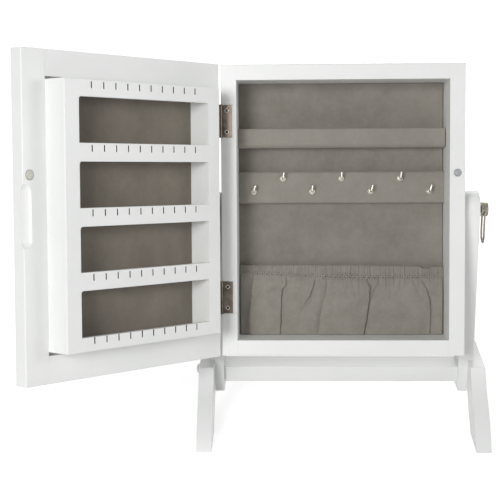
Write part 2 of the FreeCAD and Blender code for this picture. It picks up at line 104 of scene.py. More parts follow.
def position_noise(tree, scale, detail=3.0, stretch=(1, 1, 1), roughness=0.5):
    """Noise in the object's own coordinates, scale in features per metre."""
    coords = tree.nodes.new("ShaderNodeTexCoord")
    mapping = tree.nodes.new("ShaderNodeMapping")
    mapping.inputs["Scale"].default_value = stretch
    texture = tree.nodes.new("ShaderNodeTexNoise")
    texture.inputs["Scale"].default_value = scale
    texture.inputs["Detail"].default_value = detail
    texture.inputs["Roughness"].default_value = roughness
    tree.links.new(coords.outputs["Object"], mapping.inputs["Vector"])
    tree.links.new(mapping.outputs["Vector"], texture.inputs["Vector"])
    return texture.outputs["Fac"]


def tint(tree, shader, fac, dark, light, places=(0.3, 0.7)):
    """Base colour that runs from dark to light between two places of a noise value."""
    node = tree.nodes.new("ShaderNodeValToRGB")
    for element, place, colour in zip(node.color_ramp.elements, places, (dark, light)):
        element.position = place
        element.color = (*colour, 1)
    tree.links.new(fac, node.inputs["Fac"])
    tree.links.new(node.outputs["Color"], shader.inputs["Base Color"])


def vary_roughness(tree, shader, fac, low, high):
    node = tree.nodes.new("ShaderNodeMapRange")
    node.inputs["To Min"].default_value = low
    node.inputs["To Max"].default_value = high
    tree.links.new(fac, node.inputs["Value"])
    tree.links.new(node.outputs["Result"], shader.inputs["Roughness"])


def bump(tree, shader, layers, soft_edge):
    """Bump layers as (height, strength, depth in metres), over edges rounded by the bevel radius."""
    bevel = tree.nodes.new("ShaderNodeBevel")
    bevel.samples = 6
    bevel.inputs["Radius"].default_value = soft_edge
    normal = bevel.outputs["Normal"]
    for height, strength, depth in layers:
        node = tree.nodes.new("ShaderNodeBump")
        node.inputs["Strength"].default_value = strength
        node.inputs["Distance"].default_value = depth
        tree.links.new(height, node.inputs["Height"])
        tree.links.new(normal, node.inputs["Normal"])
        normal = node.outputs["Normal"]
    tree.links.new(normal, shader.inputs["Normal"])


def lacquer():
    """Sprayed satin lacquer: a trace of orange peel, and a tone that drifts a little over each board."""
    material, tree, shader = new_material("white_lacquer_finish")
    tint(tree, shader, position_noise(tree, 9, 2), (0.785, 0.795, 0.785), (0.82, 0.826, 0.816))
    vary_roughness(tree, shader, position_noise(tree, 60, 2), 0.36, 0.48)
    set_values(shader, Specular_IOR_Level=0.45, Coat_Weight=0.15, Coat_Roughness=0.25)
    peel = (position_noise(tree, 700, 1), 0.10, 0.0001)
    swell = (position_noise(tree, 40, 1), 0.10, 0.0004)
    bump(tree, shader, [peel, swell], 0.0007)
    return material


def moulded_plastic():
    material, tree, shader = new_material("white_plastic_finish")
    tint(tree, shader, position_noise(tree, 150, 2), (0.80, 0.80, 0.78), (0.84, 0.84, 0.83))
    set_values(shader, Roughness=0.42)
    bump(tree, shader, [(position_noise(tree, 2500, 2), 0.15, 0.00005)], 0.0004)
    return material


def fibreboard(name, dark, light):
    """Board of pressed fibres, with their faint speckle."""
    material, tree, shader = new_material(name)
    speckle = position_noise(tree, 900, 4, (1, 1, 0.4))
    tint(tree, shader, speckle, dark, light, (0.25, 0.7))
    set_values(shader, Roughness=0.7)
    bump(tree, shader, [(position_noise(tree, 1400, 3), 0.3, 0.0001)], 0.0004)
    return material


def velvet(name, dark, light, nap_scale=22, sheen=0.5):
    """Short pile: patches where it lies differently, fine fibres, and a soft sheen at grazing angles."""
    material, tree, shader = new_material(name)
    patches = position_noise(tree, nap_scale, 8, roughness=0.75)
    fibres = position_noise(tree, 2600, 2)
    mix = tree.nodes.new("ShaderNodeMix")
    mix.data_type = "FLOAT"
    mix.inputs["Factor"].default_value = 0.35
    tree.links.new(patches, mix.inputs["A"])
    tree.links.new(fibres, mix.inputs["B"])
    tint(tree, shader, mix.outputs["Result"], dark, light, (0.2, 0.8))
    set_values(shader, Roughness=0.92, Specular_IOR_Level=0.15)
    set_values(shader, Sheen_Weight=sheen, Sheen_Roughness=0.45, Sheen_Tint=(0.75, 0.72, 0.66, 1))
    bump(tree, shader, [(patches, 0.25, 0.0006), (fibres, 0.55, 0.0002)], 0.0008)
    return material


def plated(name, dark, light, rough=(0.18, 0.34), scale=400):
    """Metal with fine rub marks, and spots where it is a little duller."""
    material, tree, shader = new_material(name)
    set_values(shader, Metallic=1.0)
    tint(tree, shader, position_noise(tree, scale, 4), dark, light)
    vary_roughness(tree, shader, position_noise(tree, scale * 2, 3), *rough)
    bump(tree, shader, [(position_noise(tree, scale * 4, 2), 0.12, 0.00005)], 0.0003)
    return material


def silvered_glass():
    material, tree, shader = new_material("mirror_finish")
    set_values(shader, Metallic=1.0, Base_Color=(0.86, 0.89, 0.89, 1), Coat_Weight=1.0, Coat_Roughness=0.0)
    vary_roughness(tree, shader, position_noise(tree, 30, 3), 0.004, 0.02)
    return material


def thread():
    material, tree, shader = new_material("sewing_thread")
    tint(tree, shader, position_noise(tree, 3000, 2), (0.34, 0.315, 0.275), (0.50, 0.47, 0.42))
    set_values(shader, Roughness=0.75)
    return material


MATERIALS = {
    "white_lacquer": lacquer(),
    "white_plastic": moulded_plastic(),
    "back_board": fibreboard("back_board_finish", (0.66, 0.65, 0.61), (0.80, 0.80, 0.77)),
    "grey_velvet": velvet("grey_velvet_finish", (0.158, 0.145, 0.124), (0.345, 0.322, 0.286)),
    "pocket_velvet": velvet("pocket_velvet_finish", (0.185, 0.171, 0.148), (0.365, 0.341, 0.303), 45),
    # near black-brown for the nickel hinges: painted dark reflection of the plated leaves and barrels
    "hinge_nickel": plated("hinge_nickel_painted_dark_reflection", (0.075, 0.060, 0.048), (0.17, 0.145, 0.12),
                           (0.20, 0.30), 120),
    "screw_nickel": plated("screw_nickel_finish", (0.15, 0.138, 0.112), (0.32, 0.30, 0.25)),
    "hook_metal": plated("hook_metal_finish", (0.60, 0.57, 0.51), (0.80, 0.77, 0.71), (0.25, 0.38)),
    "magnet_steel": plated("magnet_steel_finish", (0.20, 0.21, 0.22), (0.30, 0.31, 0.32), (0.35, 0.5)),
    "insert_brass": plated("insert_brass_finish", (0.50, 0.36, 0.14), (0.74, 0.57, 0.28)),
    "mirror": silvered_glass(),
}
THREAD = thread()
# near black dots at the needle holes: painted shade of the holes
HOLE_SHADE = velvet("needle_hole_painted_shade", (0.02, 0.018, 0.015), (0.05, 0.045, 0.04), 300, 0.0)
# a lighter copy of the grey velvet for the ledge and hook plate: painted light on their forward faces
LIT_WRAP = velvet("wrapped_velvet_painted_light", (0.225, 0.208, 0.182), (0.350, 0.325, 0.290), 30)
# near black for the screws' cross recesses: painted shade in the recesses
RECESS_SHADE = plated("screw_recess_painted_shade", (0.008, 0.007, 0.006), (0.03, 0.028, 0.025), (0.5, 0.7))
SCREW_HEAD = plated("screw_head_finish", (0.42, 0.40, 0.36), (0.62, 0.60, 0.56))
# near black for the sleeves in the rack's slots: painted shade inside the saw cuts
SLOT_SHADE = fibreboard("slot_wall_painted_shade", (0.030, 0.025, 0.020), (0.075, 0.064, 0.052))

# nodes that look different from the others in their slot; the door's velvet pad is a darker copy of the
# grey velvet, painted shade of the deep box behind the rack
OWN_FINISH = {
    "door_velvet_pad": velvet("door_velvet_painted_shade", (0.118, 0.102, 0.083), (0.262, 0.235, 0.198)),
    "strike_disc": plated("strike_disc_finish", (0.34, 0.33, 0.30), (0.50, 0.49, 0.45), (0.5, 0.65)),
}

for entry in frame["record"]["subparts"]:
    mesh = nodes[entry["node"]].data
    finish = OWN_FINISH.get(entry["node"], MATERIALS[entry["material_slot"]])
    if not mesh.materials:
        mesh.materials.append(finish)
    for index in range(len(mesh.materials)):
        mesh.materials[index] = finish


# ------------------------------------------------------------------ mesh helpers
def piece(name, bm, body, slot, material=None, replaced=()):
    """Make an object of a mesh, give it its finish and let it ride on its body."""
    mesh = bpy.data.meshes.new(name)
    bmesh.ops.recalc_face_normals(bm, faces=bm.faces)
    bm.to_mesh(mesh)
    bm.free()
    for polygon in mesh.polygons:
        polygon.use_smooth = True
    mesh.materials.append(material or MATERIALS[slot])
    obj = bpy.data.objects.new(name, mesh)
    bpy.context.scene.collection.objects.link(obj)
    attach(obj, body)
    if replaced:
        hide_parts(*replaced)
    return obj


def sharpen(obj, degrees):
    """Keep edges that turn by more than this crisp under smooth shading."""
    bm = bmesh.new()
    bm.from_mesh(obj.data)
    for edge in bm.edges:
        if len(edge.link_faces) == 2 and edge.calc_face_angle() > math.radians(degrees):
            edge.smooth = False
    bm.to_mesh(obj.data)
    bm.free()
    return obj


def spokes(bm, centre, radius, side, up, angles):
    """New vertices around a centre, at angles in the plane of two unit vectors."""
    return [bm.verts.new(centre + radius * (math.cos(a) * side + math.sin(a) * up)) for a in angles]


def full_turn(sides):
    return [2 * math.pi * k / sides for k in range(sides)]


def band(bm, a, b):
    """Faces between two closed loops that have the same number of vertices."""
    for k in range(len(a)):
        n = (k + 1) % len(a)
        bm.faces.new((a[k], a[n], b[n], b[k]))


def tube(bm, points, radius, sides=14):
    """A round tube with closed ends along the points, its radius in mm."""
    rings = []
    side = None
    for i, point in enumerate(points):
        ahead = points[min(i + 1, len(points) - 1)] - points[max(i - 1, 0)]
        ahead.normalize()
        if side is None:
            side = ahead.orthogonal().normalized()
        side = (side - ahead * side.dot(ahead)).normalized()
        rings.append(spokes(bm, point, radius * MM, side, ahead.cross(side), full_turn(sides)))
    for a, b in zip(rings, rings[1:]):
        band(bm, a, b)
    bm.faces.new(rings[0][::-1])
    bm.faces.new(rings[-1])


def lathe(bm, origin, axis, profile, sides=40):
    """Revolve (distance along the axis, radius) pairs in mm; a zero radius closes the form."""
    axis = axis.normalized()
    side = axis.orthogonal().normalized()
    up = axis.cross(side)
    rings = []
    for along, radius in profile:
        centre = origin + axis * (along * MM)
        if radius > 0:
            rings.append(spokes(bm, centre, radius * MM, side, up, full_turn(sides)))
        else:
            rings.append([bm.verts.new(centre)])
    for a, b in zip(rings, rings[1:]):
        for k in range(sides):
            n = (k + 1) % sides
            corners = [a[k % len(a)], a[n % len(a)], b[n % len(b)], b[k % len(b)]]
            unique = list(dict.fromkeys(corners))
            if len(unique) > 2:
                bm.faces.new(unique)


def round_corner(points, radius, steps=8):
    """A polyline whose inner corners are rounded, the radius in mm."""
    out = [points[0]]
    for before, corner, after in zip(points, points[1:], points[2:]):
        a = (before - corner).normalized()
        b = (after - corner).normalized()
        half = a.angle(b) / 2
        reach = radius * MM / math.tan(half)
        start = corner + a * reach
        end = corner + b * reach
        for i in range(steps + 1):
            t = i / steps
            out.append((1 - t) ** 2 * start + 2 * t * (1 - t) * corner + t * t * end)
    out.append(points[-1])
    return out


# ------------------------------------------------------------------ hooks
HOOK_PITCH = 36.0
HOOK_ROWS = (196.0, 212.0)                          # heights of the lower and the upper row
HOOK_FACE = 54.0                                    # y of the board that they sit in
HOOK_LEAN = (2.2, 1.4, 0.5, 0.4, 2.2, 1.3, 2.0)     # how far each stem leans to the right
HOOK_OUT = 10.9                                     # how far the stem's end stands off the board
COLLAR = ((0, 0), (0, 3.7), (0.8, 3.9), (1.6, 3.6), (1.9, 3.1), (1.2, 2.3), (0.8, 1.5), (0.8, 0))


def make_hooks():
    """Small cup hooks: a dished collar, a bent stem and a ball end."""
    bm = bmesh.new()
    for i, lean in enumerate(HOOK_LEAN):
        x = HOOK_PITCH * (i - 3)
        z = HOOK_ROWS[i % 2]
        lathe(bm, at_case(x, HOOK_FACE + 0.1, z), CASE_FRONT, COLLAR, 28)
        root = at_case(x, HOOK_FACE - 0.5, z)
        bend = at_case(x, HOOK_FACE - 10.5, z)
        end = at_case(x + lean, HOOK_FACE - HOOK_OUT, z + 7)
        tube(bm, round_corner([root, bend, end], 3.4), 1.15)
        ball = Matrix.Translation(at_case(x + lean, HOOK_FACE - HOOK_OUT, z + 7.2))
        bmesh.ops.create_uvsphere(bm, u_segments=18, v_segments=10, radius=1.35 * MM, matrix=ball)
    return sharpen(piece("cup_hooks", bm, "case", "hook_metal", replaced=["hooks"]), 50)


# ------------------------------------------------------------------ folding rings and caps
RING_X = 172.6          # from the stand's middle
RING_TOP = 266.5
RING_LOW = 225.0
RING_HALF = 10.4        # half of its width, to the middle of the wire
RING_WIRE = 1.25        # radius of the wire
BOW_STEPS = 32


def make_ring(side, node, body):
    """Round wire bent to a long loop whose ends turn into the screw's head."""
    x = side * RING_X
    low = RING_LOW + RING_WIRE + RING_HALF
    corners = [at_stand(x, -6, RING_TOP), at_stand(x, -RING_HALF, RING_TOP), at_stand(x, -RING_HALF, low)]
    start = round_corner(corners, 1.6)
    bow = []
    for i in range(1, BOW_STEPS):
        a = math.pi + math.pi * i / BOW_STEPS
        bow.append(at_stand(x, RING_HALF * math.cos(a), low + RING_HALF * math.sin(a)))
    middle = at_stand(x, 0, 0).y
    end = [Vector((p.x, 2 * middle - p.y, p.z)) for p in reversed(start)]
    bm = bmesh.new()
    tube(bm, start + bow + end, RING_WIRE, 18)
    name = ("right" if side > 0 else "left") + "_wire_ring"
    return piece(name, bm, body, "screw_nickel", replaced=[node])


CAP_X = 177.0
CAP_Z = 55.7
CAP_PROFILE = ((0, 5.1), (0, 6.0), (3.6, 6.0), (4.8, 5.75), (5.8, 4.9), (6.5, 3.3), (6.75, 1.6), (6.8, 0))


def make_caps():
    """The domed caps over the bolt heads, one on each side of the stand."""
    bm = bmesh.new()
    for side in (-1, 1):
        lathe(bm, at_stand(side * CAP_X, BAR_MIDDLE_Y, CAP_Z), Vector((side, 0, 0)), CAP_PROFILE)
    return sharpen(piece("domed_caps", bm, "stand", "white_plastic", replaced=["bolt_caps"]), 60)


# ------------------------------------------------------------------ velvet wrapped boards
ARC_STEPS = 8           # pieces of each rounded front edge
FACE_STEPS = 7          # pieces of the flat front between them
BOARD_COLUMNS = 84      # pieces along the board


def board_outline(y0, y1, z0, z1, lower, upper):
    """(y, z) around a board: lower back edge, rounded lower front edge, front, rounded upper edge, back."""
    arc = [math.pi / 2 * i / ARC_STEPS for i in range(ARC_STEPS + 1)]
    flat = z1 - upper - z0 - lower
    low_edge = [(y0 + lower - lower * math.sin(a), z0 + lower - lower * math.cos(a)) for a in arc]
    front = [(y0, z0 + lower + flat * i / FACE_STEPS) for i in range(1, FACE_STEPS)]
    top_edge = [(y0 + upper - upper * math.cos(a), z1 - upper + upper * math.sin(a)) for a in arc]
    return [(y1, z0), *low_edge, *front, *top_edge, (y1, z1)]


def soft_board(name, low, high, front_radii, node, seed):
    """A velvet wrapped board of the case, in a lighter copy of the grey velvet that paints light on its
    forward face: rounded front edges and a surface that isn't quite flat.
    front_radii are the radii of its lower and upper front edge, in mm."""
    (x0, y0, z0), (x1, y1, z1) = low, high
    outline = board_outline(y0, y1, z0, z1, *front_radii)
    bm = bmesh.new()
    columns = []
    for k in range(BOARD_COLUMNS + 1):
        t = k / BOARD_COLUMNS
        x = x0 + (x1 - x0) * t
        pull = 0.5 * (max(0, 1 - t * BOARD_COLUMNS / 2) + max(0, 1 - (1 - t) * BOARD_COLUMNS / 2))
        ring = []
        for y, z in outline:
            lift = 0.22 * noise.noise(Vector((x * 0.045, z * 0.07, seed)))
            fine = 0.06 * noise.noise(Vector((x * 0.5, z * 0.5, seed + 9)))
            depth = min(y1, y - lift - fine + pull) if y < y1 else y1
            ring.append(bm.verts.new(at_case(x, depth, z)))
        columns.append(ring)
    n = len(outline)
    for a, b in zip(columns, columns[1:]):
        for i in range(n):
            bm.faces.new((a[i], b[i], b[(i + 1) % n], a[(i + 1) % n]))
    bm.faces.new(columns[0])
    bm.faces.new(columns[-1][::-1])
    return sharpen(piece(name, bm, "case", "grey_velvet", material=LIT_WRAP, replaced=[node]), 50)


def make_velvet_boards():
    soft_board("wrapped_ledge", (-INNER + 0.2, 36.2, 250.0), (INNER - 1.0, 65.0, 273.0),
               (6.0, 1.5), "ledge", 3)
    soft_board("wrapped_hook_plate", (-INNER + 0.2, 54.2, 181.6), (INNER - 0.2, 65.0, 220.8),
               (3.0, 3.0), "hook_plate", 7)


# ------------------------------------------------------------------ elastic pocket
# all in case mm, with x from the middle and z from the case's lower edge
POCKET_LOW = 18.7
POCKET_BACK = 57.0          # y of the board behind the pocket
CLOTH = 0.7                 # thickness
SIDE_GAP = 0.25
POCKET_COLUMNS, POCKET_ROWS = 430, 74
TOP_EDGE = ((-126.3, 105.0), (-51, 105.2), (10.8, 105.0), (72.5, 103.9), (96.5, 103.2), (100, 100.8),
            (108.5, 100.6), (112, 102.8), (126.3, 102.6))
SEAM_X = (-120, 10)         # the seam below the header falls between these two places
SEAM_Z = (96.2, 90.6)       # its height at each of them
# creases from the left: (x, z) from top to bottom, how deep each one cuts in, which side lies over the
# other (1 the left one, -1 the right one), and the heights where it starts to fade and where it is gone
CREASES = (
    (((-126.3, 105), (-126.3, 18)), 0.3, -1, None),
    (((-108.5, 96), (-110.5, 62), (-113.3, 37), (-112, 18)), 0.8, -1, None),
    (((-70, 96), (-68.9, 86), (-69.2, 80), (-74.2, 74.5), (-75.2, 66), (-76, 46), (-76.6, 18)),
     0.75, 1, None),
    (((-32.6, 96), (-33.2, 87), (-35, 79), (-38.8, 69), (-45.5, 57), (-53, 36), (-55, 18)),
     0.7, 1, (70, 50)),
    (((-17.2, 96), (-17, 80), (-18.4, 71), (-22.6, 56), (-25.8, 41), (-27.8, 18)), 0.6, -1, None),
    (((28, 96), (28.6, 90), (32, 82.5), (34.9, 77.7), (33.2, 70), (33, 61), (30.3, 42), (26.6, 18)),
     1.0, 1, None),
    (((98, 96), (98.4, 85), (102.2, 80), (105.8, 71), (108.4, 59), (109, 43), (108.4, 18)), 0.7, 1, None),
    (((126.3, 105), (126.3, 18)), 0.3, 1, None),
)
# short folds: (x, z) from top to bottom, and how deep each one is, a negative one being a ridge
SHORT_FOLDS = (
    (((46.8, 91), (46.6, 83), (43, 75.5), (36.5, 68.5)), 0.9),
    (((-90, 92), (-94, 78), (-104, 66)), -0.3),
    (((12, 91), (15, 78), (17, 66)), 0.4),
    (((-6, 91), (-9, 82)), 0.4),
    (((72, 90), (70, 78), (64, 66)), -0.3),
    (((88, 88), (92, 77), (96, 70)), 0.35),
    (((58, 90), (57, 80)), 0.35),
    (((-52, 92), (-50, 80), (-55, 68)), 0.3),
    (((-76, 81), (-86, 76), (-97, 70)), -0.6),
    (((-50, 52), (-53, 40), (-54, 28)), -0.4),
    (((10, 84), (7, 76), (5, 70)), 0.45),
)
HEADER_DEPTH = 1.7          # how far the flat header stands off the board
FULL_DEPTH = 6.6            # what a full fold adds
UNDER = (0.9, 15.0)         # the side of a crease that lies under: the share that it drops, and its reach
OVER = (0.12, 7.0)          # the same for the side that lies over
OVERLAP = (2.2, 1.6)        # how far that side is pushed across the crease, and how far this reaches
CROWN = (0.22, 40)          # extra height in the middle of a fold, and the width that has all of it
CREASE_START = 9            # a crease has its depth this far below the seam
ELASTIC_REACH = 9.0         # the gathers fade over this distance below the seam
GATHER_PITCH = 2.3
WAVES = ((0.8, 0.035, 0.05, 4), (0.35, 0.11, 0.08, 14))     # height, waves per mm along x and z, layer


def smooth(t):
    """0 to 1 with a soft start and end."""
    t = min(1, max(0, t))
    return t * t * (3 - 2 * t)


def at_height(path, z):
    """x of a crease at a height, along a smoothed line through its points."""
    if z >= path[0][1]:
        return path[0][0]
    for (xa, za), (xb, zb) in zip(path, path[1:]):
        if zb <= z <= za:
            t = (za - z) / (za - zb)
            return xa + (xb - xa) * (smooth(t) * 0.6 + t * 0.4)
    return path[-1][0]


def seam_height(x):
    """The seam sags a little from the left end to the middle, then runs level."""
    t = min(1, max(0, (x - SEAM_X[0]) / (SEAM_X[1] - SEAM_X[0])))
    return SEAM_Z[0] + (SEAM_Z[1] - SEAM_Z[0]) * t


def pocket_top(x):
    """Height of the header's upper edge: it falls to the right, with a turned down corner there."""
    for (xa, za), (xb, zb) in zip(TOP_EDGE, TOP_EDGE[1:]):
        if x <= xb:
            return za + (zb - za) * smooth((x - xa) / (xb - xa))
    return TOP_EDGE[-1][1]


def gather(x):
    """Uneven small gathers along the elastic, one about every 2.3 mm."""
    wide = noise.noise(Vector((x * 0.10, 2, 0)))
    ripple = math.sin(x * 2 * math.pi / (2 * GATHER_PITCH) + 4 * wide)
    return (1 - abs(ripple) ** 0.7 * 1.6) * 0.55 + noise.noise(Vector((x * 0.42, 7, 0))) * 0.9


def cut_at(crease, z, seam):
    """How deep a crease is at a height: it starts at the seam, and one of them fades out lower down."""
    _, cut, _, fade = crease
    kept = 1
    if fade:
        full, gone = fade
        kept = smooth((z - gone) / (full - gone))
    return cut * smooth((seam - z) / CREASE_START) * kept


def creases_around(x, z, seam):
    """The creases left and right of a place, each as (x at this height, depth, side)."""
    lines = [at_height(crease[0], z) for crease in CREASES]
    k = 0
    while k < len(lines) - 2 and x > lines[k + 1]:
        k += 1
    return [(lines[n], cut_at(CREASES[n], z, seam), CREASES[n][2]) for n in (k, k + 1)]


def dip(distance, cut, lies_under):
    """How far a crease lowers the cloth at a distance from it."""
    share, reach = UNDER if lies_under else OVER
    lowest = 1 - cut * share
    return (1 - lowest) * math.exp(-max(0, distance / reach))


def fold_height(x, left, right):
    """Height of the cloth between two creases, about 1 on the back of a fold."""
    (left_x, left_cut, left_side), (right_x, right_cut, right_side) = left, right
    width = max(right_x - left_x, 1)
    t = min(1, max(0, (x - left_x) / width))
    height = 1 - dip(x - left_x, left_cut, left_side > 0) - dip(right_x - x, right_cut, right_side < 0)
    return height + CROWN[0] * (1 - (2 * t - 1) ** 2) * min(1, width / CROWN[1])


def push(distance, cut, fullness):
    """How far the cloth is pushed across a crease that it lies over, at a distance from it."""
    return OVERLAP[0] * cut * math.exp(-max(0, distance) / OVERLAP[1]) * fullness


def with_short_folds(depth, x, z):
    """The depth with the short folds cut into it."""
    for path, cut in SHORT_FOLDS:
        top, low = path[0][1], path[-1][1]
        if low - 4 < z < top + 2:
            line = at_height(path, z)
            fade = min(1, (z - low + 4) / 8) * min(1, (top + 2 - z) / 3)
            depth -= 2.4 * cut * fade * math.exp(-((x - line) / 1.4) ** 2)
    return depth


def with_relief(depth, x, z, seam):
    """Add the gathers, the seam's pinch, the waves of the loose cloth and the rounding of the top edge."""
    tension = math.exp(-max(0, seam - z) / ELASTIC_REACH)
    pinch = math.exp(-((z - seam) / 1.5) ** 2)
    hem = 0.4 if z > seam else 0
    depth += 1.45 * gather(x) * tension * (1 - 0.4 * pinch) - 0.8 * pinch + hem
    for tall, across, along, layer in WAVES:
        depth += tall * noise.noise(Vector((x * across, z * along, layer))) * (1 - tension)
    depth += 0.10 * noise.noise(Vector((x * 0.3, z * 0.3, 8)))
    top_edge = max(0, 1 - (pocket_top(x) - z) / 1.2)
    return depth - 0.5 * top_edge ** 2


def pocket_point(x, z):
    """Case y of the cloth's face and its sideways shift at a place."""
    seam = seam_height(x)
    left, right = creases_around(x, z, seam)
    below = min(1, max(0, (seam - z) / 26))
    above_hem = min(1, max(0, (z - POCKET_LOW) / 30))
    fullness = math.sqrt(below) * (0.75 + 0.25 * math.sqrt(above_hem))
    depth = HEADER_DEPTH + FULL_DEPTH * fullness * fold_height(x, left, right)
    depth = with_relief(with_short_folds(depth, x, z), x, z, seam)
    shift = 0
    if left[2] < 0:
        shift -= push(x - left[0], left[1], fullness)
    if right[2] > 0:
        shift += push(right[0] - x, right[1], fullness)
    edge = min(1, (INNER - abs(x)) / 2.5)
    return POCKET_BACK - max(0.25, depth * edge), shift * edge


def make_pocket():
    """One sheet of velvet: gathered on a flat elastic at the top, full below, with the creases it keeps."""
    bm = bmesh.new()
    grid = []
    for j in range(POCKET_ROWS + 1):
        line = []
        for i in range(POCKET_COLUMNS + 1):
            x = -INNER + SIDE_GAP + (2 * INNER - 2 * SIDE_GAP) * i / POCKET_COLUMNS
            top = pocket_top(x) + 0.45 * gather(x)
            z = POCKET_LOW + (top - POCKET_LOW) * (j / POCKET_ROWS)
            y, shift = pocket_point(x, z)
            line.append(bm.verts.new(at_case(x + shift, y, z)))
        grid.append(line)
    for a, b in zip(grid, grid[1:]):
        for i in range(POCKET_COLUMNS):
            bm.faces.new((a[i], a[i + 1], b[i + 1], b[i]))
    pocket = piece("gathered_pocket", bm, "case", "pocket_velvet", replaced=["elastic_pocket"])
    skin = pocket.modifiers.new("cloth_thickness", "SOLIDIFY")
    skin.thickness = CLOTH * MM
    skin.offset = 1 if pocket.data.polygons[0].normal.y > 0 else -1
    return pocket


STITCH = 3.0            # from one needle hole to the next
# rows of zigzag: from x, to x, height above the seam line, and how tall the zigzag is
STITCH_ROWS = ((-110, 118, 0.0, 1.8), (-22, 46, -2.9, 1.6), (-4, 24, 2.9, 1.2))


def make_stitches():
    """Zigzag seam below the header with two shorter rows beside it: thread between near black dots, painted
    shade of the needle holes.
    """
    front = CASE_FRONT.normalized()
    out = front * MM
    threads = bmesh.new()
    hole_shade = bmesh.new()
    for x0, x1, offset, tall in STITCH_ROWS:
        points = []
        for i in range(int((x1 - x0) / STITCH)):
            x = x0 + i * STITCH
            z = seam_height(x) + offset + (tall / 2 if i % 2 else -tall / 2)
            y, shift = pocket_point(x, z)
            points.append(at_case(x + shift, y, z))
        # a flattened near black dot at each needle hole: painted shade
        for point in points:
            matrix = Matrix.Translation(point + out * 0.1) @ Matrix.Scale(0.5, 4, front)
            bmesh.ops.create_icosphere(hole_shade, subdivisions=1, radius=0.75 * MM, matrix=matrix)
        for a, b in zip(points, points[1:]):
            rise = out * 0.45
            tube(threads, [a - out * 0.1, a.lerp(b, 0.2) + rise, a.lerp(b, 0.8) + rise, b - out * 0.1],
                 0.26, 6)
    seam = piece("pocket_stitches", threads, "case", "pocket_velvet", material=THREAD)
    return [seam, piece("needle_hole_shade_dots", hole_shade, "case", "pocket_velvet", material=HOLE_SHADE)]


# ------------------------------------------------------------------ painted shade in the earring rack's slots
SLOT_ROWS = (41.6, 107.8, 175.2, 242.2, 307.6)      # lower end of the slots in each row
SLOTS_PER_ROW = 10
SLOT_U, SLOT_PITCH = 73.1, 16.76                    # first slot from the hinge line, and from slot to slot
SLOT_W, SLOT_H = 1.7, 7.1
RACK_FACE, RACK_T = 31.0, 6.0                       # the rack's outer face and its thickness
SLEEVE_ENDS = (0.3, 0.35)                           # how far it ends inside the rack's back and face
SLEEVE_INSETS = (0.03, 0.23)                        # its outer and inner wall, from the slot's wall


def slot_sleeve(bm, u, z, v0, v1):
    """A thin near black sleeve that lines one slot, as painted shade."""
    loops = []
    for inset in SLEEVE_INSETS:
        half = SLOT_W / 2 - inset
        low, high = z + inset, z + SLOT_H - inset
        for v in (v0, v1):
            corners = ((u - half, low), (u + half, low), (u + half, high), (u - half, high))
            loops.append([bm.verts.new(at_door(a, v, b)) for a, b in corners])
    outer_back, outer_front, inner_back, inner_front = loops
    band(bm, outer_back, outer_front)
    band(bm, outer_front, inner_front)
    band(bm, inner_front, inner_back)
    band(bm, inner_back, outer_back)


def make_slot_shade():
    """Near black sleeves on the walls of the rack's slots: painted shade of the deep saw cuts."""
    bm = bmesh.new()
    for z in SLOT_ROWS:
        for i in range(SLOTS_PER_ROW):
            slot_sleeve(bm, SLOT_U + i * SLOT_PITCH, z,
                        RACK_FACE - RACK_T + SLEEVE_ENDS[0], RACK_FACE - SLEEVE_ENDS[1])
    return sharpen(piece("slot_shade_sleeves", bm, "door", "back_board", material=SLOT_SHADE), 30)


# ------------------------------------------------------------------ screws with a cross recess
HINGE_LOW = (51.5, 262.0)       # lower end of each hinge
HINGE_SCREWS = [low + step for low in HINGE_LOW for step in (6.4, 31.6)]
SCREW_RADIUS = 2.6
RECESS_DEPTH = 0.9
HEAD_EDGE = 0.2                 # how far the head's outer edge lies below its face
SHANK = ((0, SCREW_RADIUS), (1.1, 1.3), (11.5, 1.3), (11.9, 0))


def cross_outline(radius):
    """The twelve corners of the recess."""
    arm, half = radius * 0.72, radius * 0.30
    return [(half, half), (half, arm), (-half, arm), (-half, half), (-arm, half), (-arm, -half),
            (-half, -half), (-half, -arm), (half, -arm), (half, -half), (arm, -half), (arm, half)]


def screw_head(bm, centre, outward):
    """A countersunk head: a flat ring around a cross shaped recess with sloping walls, the recess coloured
    near black as painted shade.
    """
    outward = outward.normalized()
    side = outward.orthogonal().normalized()
    up = outward.cross(side)
    radius = SCREW_RADIUS * MM
    cross = cross_outline(radius)
    angles = [math.atan2(b, a) for a, b in cross]
    tops = [bm.verts.new(centre + side * a + up * b) for a, b in cross]
    lows = [bm.verts.new(centre + side * a * 0.7 + up * b * 0.7 - outward * RECESS_DEPTH * MM)
            for a, b in cross]
    rim = spokes(bm, centre, radius * 0.94, side, up, angles)
    edge = spokes(bm, centre - outward * HEAD_EDGE * MM, radius, side, up, angles)
    base = [bm.verts.new(centre + (vertex.co - centre) * 0.8 - outward * (RECESS_DEPTH + 0.1) * MM)
            for vertex in edge]
    recess = []
    for i in range(len(cross)):
        k = (i + 1) % len(cross)
        for a, b in ((tops, rim), (rim, edge), (edge, base)):
            bm.faces.new((a[i], a[k], b[k], b[i]))
        recess.append(bm.faces.new((tops[k], tops[i], lows[i], lows[k])))
    recess.append(bm.faces.new(lows))
    bm.faces.new(base[::-1])
    # the recess faces take the near black second finish: painted shade
    for face in recess:
        face.material_index = 1


def screws(name, body, node, centres, outward):
    """Hinge screws on one body, all facing the same way."""
    bm = bmesh.new()
    inward = outward.normalized()
    for centre in centres:
        screw_head(bm, centre, outward)
        lathe(bm, centre - inward * HEAD_EDGE * MM, -inward, SHANK, 20)
    heads = piece(name, bm, body, "hinge_nickel", material=SCREW_HEAD, replaced=[node])
    heads.data.materials.append(RECESS_SHADE)
    sharpen(heads, 25)


